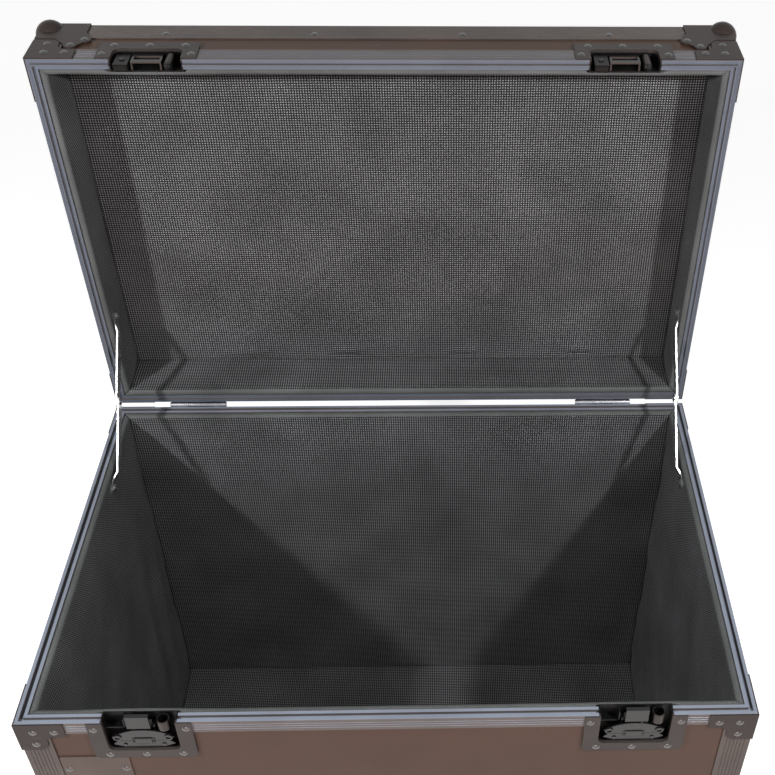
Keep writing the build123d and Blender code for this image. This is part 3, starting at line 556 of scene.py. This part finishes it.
class Finishes:
    """Every material of the trunk, by slot."""

    def __init__(self, trunk: Trunk) -> None:
        """Build the shared groups and the materials."""
        effects = Effects()
        self.by_slot = {slot: coat.build(effects) for slot, coat in COATS.items()}
        self.by_slot[Slot.LINING] = PaddedCloth("dotted_lining_cloth").build(effects)
        self.lip = LIP_CLOTH.build(effects)
        self.by_node = dict.fromkeys(("stay_base_studs", "stay_lid_studs"), self.by_slot[Slot.ZINC])
        for half in Half:
            meet, inward, front = trunk.ways(half)
            # Painted top light on the rim's meeting face, where its normal looks along the face's way.
            face = PaintedShadingPatch(PAINTED_TOP_LIGHT_ON_MEETING_FACES[half], "Normal", meet, level=0.6, blend=0.2)
            rim = replace(RIM_COAT, name=f"{half.value}_rim_coat", patch=face)
            self.by_node[f"{half.value}_rim"] = rim.build(effects)
            # Painted shade inside the dish, past the flange's depth.
            depth = PaintedShadingPatch(DISH_INSIDE_PAINTED_SHADE, "Object", inward, front + DISH_FLANGE, DISH_FLANGE)
            dish = replace(COATS[Slot.DISH], name=f"{half.value}_dish_coat_painted_shade", patch=depth).build(effects)
            for side in ("left", "right"):
                self.by_node[f"latch_{side}_{half.value}_dish"] = dish

    def dress_frame(self) -> None:
        """Give each of the frame's nodes the material of its slot, or its own one."""
        slots = {one["node"]: Slot(one["material_slot"]) for one in frame["record"]["subparts"]}
        for node, piece in frame["nodes"].items():
            self.dress(piece, slots[node])
            if node in self.by_node:
                piece.data.materials[0] = self.by_node[node]

    def dress_pad(self, piece: bpy.types.Object) -> None:
        """Put the dotted cloth on a pad's face and the plain one on its lip."""
        piece.data.materials.append(self.by_slot[Slot.LINING])
        piece.data.materials.append(self.lip)

    def dress(self, piece: bpy.types.Object, slot: Slot) -> None:
        """Put one slot's material on a piece."""
        if not piece.data.materials:
            piece.data.materials.append(None)
        for index in range(len(piece.data.materials)):
            piece.data.materials[index] = self.by_slot[slot]


@dataclass(frozen=True)
class Dent:
    """A soft hollow or bump in padded cloth, in metres along and down the pad."""

    along: float
    down: float
    length: float
    width: float
    depth: float
    turn: float = 0.0

    def height(self, along: np.ndarray, down: np.ndarray) -> np.ndarray:
        """Gaussian in two turned axes, positive towards the room.

        Args:
            along: Places along the pad.
            down: Places down the pad.

        Returns:
            How far each place stands out.
        """
        cos, sin = math.cos(self.turn), math.sin(self.turn)
        first = (along - self.along) * cos + (down - self.down) * sin
        second = (down - self.down) * cos - (along - self.along) * sin
        return self.depth * np.exp(-((first / self.length) ** 2) - (second / self.width) ** 2)


WAVES = 7
WAVE_LENGTHS = (0.07, 0.3)
WAVE_SUM = 0.5


def slow_waves(along: np.ndarray, down: np.ndarray, seed: int, size: float) -> np.ndarray:
    """Sum of a few sines with seeded directions, for the uneven lie of glued cloth.

    Args:
        along: Places along the pad, in metres.
        down: Places down the pad, in metres.
        seed: Number that fixes the directions.
        size: Height of the waves, in metres.

    Returns:
        Heights towards the room.
    """
    draw = np.random.default_rng(seed)
    total = np.zeros_like(along)
    for _ in range(WAVES):
        angle = draw.uniform(0, math.pi)
        length = draw.uniform(*WAVE_LENGTHS)
        start = draw.uniform(0, math.tau)
        across = along * math.cos(angle) + down * math.sin(angle)
        total += np.sin(across * math.tau / length + start) * length
    return total * size / WAVE_SUM


class Side(Enum):
    """The four walls of a box, as quarter turns from the front."""

    FRONT = 0
    RIGHT = 1
    BACK = 2
    LEFT = 3


def closed_ring(rows: np.ndarray) -> np.ndarray:
    """Repeat a grid's first row at its end, so that its section comes round to where it began."""
    return np.concatenate([rows, rows[:1]])


@dataclass(frozen=True)
class Recess:
    """Room in a pad's back for a dish that is let into the wall."""

    middle: float
    half: float
    head: float
    foot: float
    spare: float = 0.6 * MM

    def covers(self, along: np.ndarray, drop: np.ndarray, step: float) -> np.ndarray:
        """Tell which grid points lie behind the dish, one grid step wider to each side.

        Args:
            along: Places along the wall.
            drop: Drops below the rim plane.
            step: The grid's step along the wall.

        Returns:
            True where the pad has to make room.
        """
        beside = np.abs(along - self.middle) < self.half + step
        margin = 1.5 * self.spare
        return beside & (drop > self.head - margin) & (drop < self.foot + margin)


@dataclass
class WallPads:
    """Thin padded cloth on the four walls of one box."""

    trunk: Trunk
    half: Half
    foot: float
    dents: dict[Side, list[Dent]]
    swell: float = 4.0 * MM
    swell_reach: float = 75.0 * MM
    swell_drop: float = 74.0 * MM
    round_top: float = 2.6 * MM
    lip_drop: float = 1.2 * MM
    bead: float = 1.6 * MM
    bead_drop: float = 4.5 * MM
    bead_width: float = 3.5 * MM
    step_along: float = 5.0 * MM
    step_down: float = 7.0 * MM
    fewest_rows: int = 4
    round_points: int = 5
    panel_clearance: float = 0.3 * MM
    rim_clearance: float = 0.2 * MM
    shoulder_foot: float = 15.0 * MM
    shoulder_head: float = 13.5 * MM
    edge_drop: float = 0.3 * MM
    edge_inset: float = 1.2 * MM
    first_seed: int = 11
    wave_height: float = 0.7 * MM
    swell_ease: float = 6.0 * MM
    corner_waves: tuple[tuple[float, float, float], ...] = ((1.9 * MM, 27.0, 1.0), (0.9 * MM, 74.0, 0.0))
    corner_reach: float = 14.0 * MM
    head_fade: float = 20.0 * MM
    foot_fade: float = 6.0 * MM
    foot_band: float = 8.0 * MM
    least_share: float = 0.25

    def recesses(self, side: Side) -> list[Recess]:
        """Say which dishes one wall makes room for."""
        trunk = self.trunk
        if side is Side.FRONT:
            foot = trunk.base_dish_foot if self.half is Half.BASE else trunk.lid_dish_foot
            return [Recess(middle, trunk.dish_half, 0.0, foot) for middle in (-trunk.latch_x, trunk.latch_x)]
        if side is not Side.BACK and self.half is Half.BASE:
            return [Recess(0.0, trunk.handle_half, trunk.handle_head, trunk.handle_foot)]
        return []

    def back_rows(self, side: Side) -> np.ndarray:
        """Inset and drop up a pad's back, with close rows at the ends of its recesses.

        Args:
            side: Which wall.

        Returns:
            Array of shape (points, 2), from the foot up to the lip.
        """
        panel = self.trunk.panel_inset + self.panel_clearance
        rim = self.trunk.rim_width + self.rim_clearance
        drop = self.lip_drop
        levels = {self.foot, self.shoulder_foot}
        for recess in self.recesses(side):
            for level in (recess.head, recess.foot):
                levels |= {level + spares * recess.spare for spares in (-2, -1, 1, 2)}
        low = [(panel, level) for level in sorted(levels, reverse=True) if level >= self.shoulder_foot]
        edge = [(rim, drop + self.edge_drop), (rim + self.edge_inset, drop)]
        return np.array(low + [(rim, self.shoulder_head)] + edge)

    def section(self, back: np.ndarray) -> np.ndarray:
        """Inset and drop round a pad's section: up the back, over the round top, down the face.

        Args:
            back: The rows of the back.

        Returns:
            Array of shape (points, 2); the last stretch is the face.
        """
        inner, drop = self.trunk.lining_inset, self.lip_drop
        turns = np.linspace(0.0, math.pi / 2, self.round_points)
        over = np.stack([inner - self.round_top + self.round_top * np.sin(turns),
                         drop + self.round_top - self.round_top * np.cos(turns)], axis=1)
        rows = max(self.fewest_rows, int((self.foot - drop) / self.step_down))
        face = np.linspace(drop + self.round_top, self.foot, rows + 1)[1:]
        front = np.stack([np.full(rows, inner), face], axis=1)
        return np.concatenate([back, over, front])

    def relief(self, side: Side, along: np.ndarray, down: np.ndarray, reach: float) -> np.ndarray:
        """How far the face stands out: waves, dents and the swell behind the latches.

        Near a corner the height changes to one that both walls share there.

        Args:
            side: Which wall.
            along: Places along the wall from its middle, in metres.
            down: Drop below the rim plane.
            reach: Half the wall's length.

        Returns:
            Heights towards the room.
        """
        height = slow_waves(along, down, self.first_seed + side.value, self.wave_height)
        for dent in self.dents.get(side, []):
            height = height + dent.height(along, down)
        if side is Side.FRONT:
            for middle in (-self.trunk.latch_x, self.trunk.latch_x):
                share = np.clip(1 - ((along - middle) / self.swell_reach) ** 2, 0, 1)
                ease = 1 / (1 + np.exp((down - self.swell_drop) / self.swell_ease))
                height = height + self.swell * share * ease
        shared = sum(size * np.sin(down * turns + start) for size, turns, start in self.corner_waves)
        close = np.exp(-(((reach - np.abs(along)) / self.corner_reach) ** 2))
        head = np.clip((down - self.lip_drop) / self.head_fade, 0, 1)
        fade = head * np.clip((self.foot - down) / self.foot_fade, 0, 1)
        least = self.least_share * (down < self.foot - self.foot_band)
        held = (height * (1 - close) + shared * close) * np.maximum(fade, least)
        return held + self.bead * np.exp(-((down - self.bead_drop) / self.bead_width) ** 2)

    def wall(self, side: Side) -> bpy.types.Object:
        """One wall's pad: the section carried along the wall, mitred where the section's inset ends.

        Args:
            side: Which wall.

        Returns:
            The pad.
        """
        long_side = side in (Side.FRONT, Side.BACK)
        half_length = self.trunk.half_width if long_side else self.trunk.half_depth
        half_span = self.trunk.half_depth if long_side else self.trunk.half_width
        back = self.back_rows(side)
        section = self.section(back)
        share = np.linspace(-1, 1, int(2 * half_length / self.step_along) + 1)
        inset = np.repeat(section[:, :1], share.size, axis=1)
        drop = np.repeat(section[:, 1:], share.size, axis=1)
        spread = np.repeat(share[None], len(section), axis=0)
        reach = half_length - self.trunk.lining_inset
        rows = np.arange(len(section))[:, None]
        lift = self.relief(side, spread * reach, drop, reach)
        inset = inset + np.where(rows >= len(back), lift, 0.0)
        for recess in self.recesses(side):
            behind = recess.covers(spread * reach, drop, self.step_along) & (rows < len(back))
            inset = np.where(behind, np.maximum(inset, self.trunk.dish_back), inset)
        along = spread * (half_length - inset)
        x, y = along, inset - half_span
        cos, sin = ((1, 0), (0, 1), (-1, 0), (0, -1))[side.value]
        points = closed_ring(np.stack([x * cos - y * sin, x * sin + y * cos, -drop], axis=-1))
        uvs = closed_ring(np.stack([along, -drop - inset], axis=-1))
        name = f"{self.half.value}_{side.name.lower()}_padding"
        piece = surface(name, self.trunk.place(points, self.half), uvs)
        lip = np.repeat(np.arange(len(section)) < len(back) + self.round_points - 1, share.size - 1)
        piece.data.polygons.foreach_set("material_index", lip.astype(np.int32))
        return piece


def close_ends(piece: bpy.types.Object) -> None:
    """Fill a pad's two open ends and turn its faces outwards."""
    shape = bmesh.new()
    shape.from_mesh(piece.data)
    bmesh.ops.remove_doubles(shape, verts=shape.verts, dist=WELD)
    bmesh.ops.holes_fill(shape, edges=[edge for edge in shape.edges if edge.is_boundary], sides=0)
    bmesh.ops.recalc_face_normals(shape, faces=shape.faces)
    shape.to_mesh(piece.data)
    shape.free()


END_SEEDS: dict[Half, int] = {Half.BASE: 23, Half.LID: 29}


@dataclass
class EndPad:
    """The padded cloth on the inside of a box's closed end."""

    trunk: Trunk
    half: Half
    foot: float
    dents: list[Dent]
    thickness: float = 6.0 * MM
    round_edge: float = 2.5 * MM
    round_points: int = 4
    step: float = 3.0 * MM
    wave_height: float = 0.5 * MM
    edge_fade: float = 9.0 * MM
    rise_limit: float = 3.0 * MM

    def build(self) -> bpy.types.Object:
        """The pad's upper face on a grid, its border rounded down to the panel.

        The height is the thickness, less a quarter circle near the border, plus waves and dents.

        Returns:
            The pad.
        """
        reach_x = self.trunk.half_width - self.trunk.lining_inset
        reach_y = self.trunk.half_depth - self.trunk.lining_inset
        x = self.spread(reach_x)
        y = self.spread(reach_y)
        along, across = np.meshgrid(x, y)
        edge = np.minimum(reach_x - np.abs(along), reach_y - np.abs(across))
        fall = np.clip(1 - edge / self.round_edge, 0, 1)
        rise = slow_waves(along, across, END_SEEDS[self.half], self.wave_height)
        for dent in self.dents:
            rise = rise + dent.height(along, across)
        inside = np.clip(edge / self.edge_fade, 0, 1)
        rise = np.clip(rise, -self.rise_limit, self.rise_limit)
        height = self.thickness - self.round_edge * (1 - np.sqrt(1 - fall ** 2)) + rise * inside
        top = np.stack([along, across, height - self.foot], axis=-1)
        skirt = top.copy()
        skirt[..., 2] = -self.foot
        flat = np.stack([along, across], axis=-1)
        points = closed_ring(np.concatenate([top, skirt[::-1]]))
        uvs = closed_ring(np.concatenate([flat, flat[::-1]]))
        name = f"{self.half.value}_end_padding"
        return surface(name, self.trunk.place(points, self.half), uvs)

    def spread(self, reach: float) -> np.ndarray:
        """Places from -reach to reach, close together in the round border."""
        border = np.linspace(0, self.round_edge, self.round_points)[:-1]
        count = int(2 * reach / self.step)
        middle = np.linspace(-reach + self.round_edge, reach - self.round_edge, count)
        return np.concatenate([-reach + border, middle, (reach - border)[::-1]])


CREASE_OVERLAP = 0.55


def crease(points: list[tuple[float, float]], width: float, depth: float) -> list[Dent]:
    """A bent crease as a run of long dents, one on each stretch between points."""
    run = []
    for (x0, y0), (x1, y1) in zip(points, points[1:]):
        length = math.hypot(x1 - x0, y1 - y0)
        turn = math.atan2(y1 - y0, x1 - x0)
        run.append(Dent((x0 + x1) / 2, (y0 + y1) / 2, CREASE_OVERLAP * length, width, depth, turn))
    return run


BASE_DENTS: dict[Side, list[Dent]] = {
    Side.BACK: [
        Dent(-0.300, 0.022, 0.045, 0.005, 1.6 * MM),
        Dent(-0.285, 0.036, 0.050, 0.007, -1.4 * MM),
        Dent(0.300, 0.026, 0.045, 0.006, 1.5 * MM),
        Dent(0.285, 0.040, 0.045, 0.008, -1.2 * MM),
        Dent(-0.10, 0.16, 0.17, 0.012, -0.7 * MM, 0.25),
        Dent(0.16, 0.15, 0.015, 0.09, 0.9 * MM, 0.3),
        Dent(0.05, 0.19, 0.20, 0.03, 1.2 * MM),
    ],
    Side.LEFT: [
        Dent(-0.20, 0.33, 0.013, 0.16, 3.4 * MM, -0.12),
        Dent(-0.165, 0.34, 0.011, 0.15, -2.8 * MM, -0.10),
        Dent(-0.125, 0.38, 0.014, 0.14, 3.0 * MM, -0.05),
        Dent(-0.085, 0.38, 0.013, 0.14, -2.0 * MM, 0.06),
        Dent(-0.02, 0.40, 0.020, 0.13, 1.6 * MM),
    ],
    Side.RIGHT: [
        Dent(-0.19, 0.22, 0.014, 0.16, 2.0 * MM, -0.08),
        Dent(-0.14, 0.30, 0.016, 0.16, -1.6 * MM),
        Dent(0.02, 0.34, 0.025, 0.16, 1.4 * MM),
    ],
}

LID_DENTS: dict[Side, list[Dent]] = {
    Side.BACK: [Dent(0.0, 0.048, 0.30, 0.008, -1.2 * MM), Dent(-0.2, 0.03, 0.12, 0.010, 1.0 * MM)],
    Side.LEFT: [Dent(-0.05, 0.045, 0.05, 0.012, 1.4 * MM), Dent(0.10, 0.05, 0.03, 0.015, 1.6 * MM)],
    Side.RIGHT: [Dent(0.03, 0.045, 0.05, 0.012, 1.4 * MM), Dent(-0.09, 0.05, 0.03, 0.015, 1.6 * MM)],
}

BASE_END_DENTS: list[Dent] = [
    Dent(-0.223, 0.232, 0.020, 0.006, 2.4 * MM),
    Dent(-0.159, 0.232, 0.022, 0.006, 2.4 * MM),
    Dent(0.030, 0.230, 0.030, 0.006, 1.6 * MM),
    Dent(0.189, 0.232, 0.022, 0.006, 2.4 * MM),
]

LID_END_DENTS: list[Dent] = [
    Dent(-0.220, 0.226, 0.030, 0.006, 2.0 * MM),
    Dent(-0.080, 0.224, 0.018, 0.006, 3.0 * MM),
    Dent(-0.080, 0.233, 0.020, 0.004, -3.0 * MM),
    Dent(0.089, 0.224, 0.018, 0.006, 3.0 * MM),
    Dent(0.089, 0.233, 0.020, 0.004, -3.0 * MM),
    Dent(0.257, 0.224, 0.018, 0.006, 3.0 * MM),
    Dent(0.257, 0.233, 0.020, 0.004, -3.0 * MM),
    Dent(-0.26, 0.10, 0.05, 0.03, 1.5 * MM),
    Dent(0.28, 0.10, 0.06, 0.03, 1.5 * MM),
    Dent(-0.20, -0.12, 0.08, 0.02, -1.2 * MM),
    Dent(0.22, -0.12, 0.08, 0.02, -1.2 * MM),
    *crease([(-0.047, -0.089), (-0.055, 0.001), (-0.094, 0.089), (-0.153, 0.141)], 5 * MM, -1.3 * MM),
    *crease([(0.012, -0.045), (0.043, 0.065), (0.098, 0.133), (0.197, 0.161)], 5 * MM, -1.2 * MM),
]


@dataclass
class Linings:
    """All the padded cloth of the trunk."""

    trunk: Trunk
    finishes: Finishes
    fill: float = 0.35

    def build(self) -> None:
        """Build the pads of both boxes in place of the frame's plain ones."""
        base, lid = self.trunk.base_floor, self.trunk.lid_floor
        self.box(Half.BASE, base, BASE_DENTS, BASE_END_DENTS, "base_floor_lining", "base_wall_lining")
        self.box(Half.LID, lid, LID_DENTS, LID_END_DENTS, "lid_top_lining", "lid_wall_lining")

    def box(self, half: Half, foot: float, walls: dict[Side, list[Dent]], end: list[Dent], end_node: str,
            wall_node: str) -> None:
        """Build one box's pads.

        Args:
            half: Which box.
            foot: Drop of the closed end's panel below the rim plane.
            walls: Dents by wall.
            end: Dents of the closed end's pad.
            end_node: The frame's node that the end pad stands for.
            wall_node: The frame's node that the wall pads stand for.
        """
        pads = WallPads(self.trunk, half, foot, walls)
        for side in Side:
            self.finish(pads.wall(side), half, wall_node)
        self.finish(EndPad(self.trunk, half, foot, end).build(), half, end_node)

    def finish(self, piece: bpy.types.Object, half: Half, node: str) -> None:
        """Close, dress and declare one pad."""
        close_ends(piece)
        self.finishes.dress_pad(piece)
        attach(piece, half.value)
        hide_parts(node)
        LOG.info("%s: %d faces", piece.name, len(piece.data.polygons))


@dataclass(frozen=True)
class Viewpoint:
    """The photograph's camera, in the row frame."""

    place: tuple[float, float, float] = (0.06431, -1.01090, 1.66523)
    elevation: float = math.radians(40.443)
    yaw: float = math.radians(2.135)
    roll: float = math.radians(1.011)
    lens: float = 52.75
    shift: tuple[float, float] = (-0.1179, 0.0127)

    def build(self) -> None:
        """Make the camera: the axis looks down by the elevation, and the frame is turned by the roll."""
        forward = np.array([math.sin(self.yaw) * math.cos(self.elevation),
                            math.cos(self.yaw) * math.cos(self.elevation), -math.sin(self.elevation)])
        level = np.array([math.cos(self.yaw), -math.sin(self.yaw), 0.0])
        upward = np.cross(level, forward)
        right = math.cos(self.roll) * level + math.sin(self.roll) * upward
        up = math.cos(self.roll) * upward - math.sin(self.roll) * level
        turn = Matrix([right, up, -forward]).transposed().to_4x4()
        data = bpy.data.cameras.new("viewpoint")
        data.lens = self.lens
        data.shift_x, data.shift_y = self.shift
        camera = bpy.data.objects.new("viewpoint", data)
        camera.matrix_world = Matrix.Translation(self.place) @ turn
        bpy.context.collection.objects.link(camera)
        bpy.context.scene.camera = camera


@dataclass(frozen=True)
class Lamp:
    """A small round lamp, or a flat panel where it is aimed at a point."""

    name: str
    place: tuple[float, float, float]
    power: float
    size: tuple[float, float] = (0.05, 0.05)
    colour: tuple[float, float, float] = (1.0, 1.0, 1.0)
    aim: tuple[float, float, float] | None = None

    def build(self) -> None:
        """Make the lamp; a panel shines along its own -Z, so that its Z looks back from the aim."""
        data = bpy.data.lights.new(self.name, "POINT" if self.aim is None else "AREA")
        data.energy = self.power
        data.color = self.colour
        lamp = bpy.data.objects.new(self.name, data)
        bpy.context.collection.objects.link(lamp)
        if self.aim is None:
            data.shadow_soft_size = self.size[0]
            lamp.location = self.place
            return
        data.shape = "RECTANGLE"
        data.size, data.size_y = self.size
        back = np.array(self.place) - np.array(self.aim)
        back = back / np.linalg.norm(back)
        side = np.cross((0.0, 0.0, 1.0), back)
        side = side / np.linalg.norm(side)
        turn = Matrix([side, np.cross(back, side), back]).transposed().to_4x4()
        lamp.matrix_world = Matrix.Translation(self.place) @ turn


@dataclass(frozen=True)
class Studio:
    """Pale floor, small lamps to both sides, soft ones in front and a white surround."""

    lamps: tuple[Lamp, ...] = (
        Lamp("left_lamp", (-1.147, -0.896, 1.708), 116.0),
        Lamp("right_lamp", (0.920, -0.896, 1.708), 95.0),
        Lamp("front_panel", (0.0, -2.9, 1.15), 19.0, (2.0, 0.8), (0.95, 1.0, 1.0), (0.0, 0.2, 0.85)),
        Lamp("warm_panel", (0.0, -1.3, 0.42), 4.0, (1.6, 0.2), (1.0, 0.47, 0.3), (0.0, -0.3, 0.5)),
    )
    fill: float = 0.035
    floor_reach: float = 12.0
    floor_tone: float = 0.6
    floor_glow: float = 0.85
    floor_roughness: float = 0.9

    def build(self) -> None:
        """Make the world, the lamps and the floor."""
        self.surround()
        for lamp in self.lamps:
            lamp.build()
        self.floor()
        bpy.context.scene.view_settings.view_transform = "Standard"

    @staticmethod
    def shown(graph: Graph) -> bpy.types.NodeSocket:
        """Tell 1 for the rays that show the background: to the camera, off metal and through glass."""
        path = graph.node("LightPath")
        seen = graph.math("MAXIMUM", path.outputs["Is Camera Ray"], path.outputs["Is Glossy Ray"])
        return graph.math("MAXIMUM", seen, path.outputs["Is Transmission Ray"])

    def surround(self) -> None:
        """World: white where it is seen, and a plain fill for the rest."""
        world = bpy.data.worlds.new("surround")
        world.use_nodes = True
        graph = Graph(world.node_tree)
        shader = world.node_tree.nodes["Background"]
        graph.feed(shader.inputs["Strength"], graph.math("MAXIMUM", self.shown(graph), self.fill))
        shader.inputs["Color"].default_value = (1.0, 1.0, 1.0, 1.0)
        bpy.context.scene.world = world

    def floor(self) -> None:
        """A wide pale plane that glows where it is seen and keeps the trunk's shadow."""
        reach = self.floor_reach
        mesh = bpy.data.meshes.new("studio_floor")
        corners = [(-reach, -reach, 0.0), (reach, -reach, 0.0), (reach, reach, 0.0), (-reach, reach, 0.0)]
        mesh.from_pydata(corners, [], [(0, 1, 2, 3)])
        piece = bpy.data.objects.new("studio_floor", mesh)
        bpy.context.collection.objects.link(piece)
        material, graph, shader = start_material("studio_floor")
        shader.inputs["Roughness"].default_value = self.floor_roughness
        shader.inputs["Base Color"].default_value = (self.floor_tone,) * 3 + (1.0,)
        glow = graph.math("MULTIPLY", self.shown(graph), self.floor_glow)
        graph.feed(shader.inputs["Emission Color"], glow)
        shader.inputs["Emission Strength"].default_value = 1.0
        mesh.materials.append(material)


def main() -> None:
    """Dress the trunk and light it."""
    logging.basicConfig(level=logging.INFO, format="%(name)s %(message)s")
    trunk = Trunk.from_frame()
    finishes = Finishes(trunk)
    finishes.dress_frame()
    Linings(trunk, finishes).build()
    Viewpoint().build()
    Studio().build()


if __name__ == "__main__":
    main()
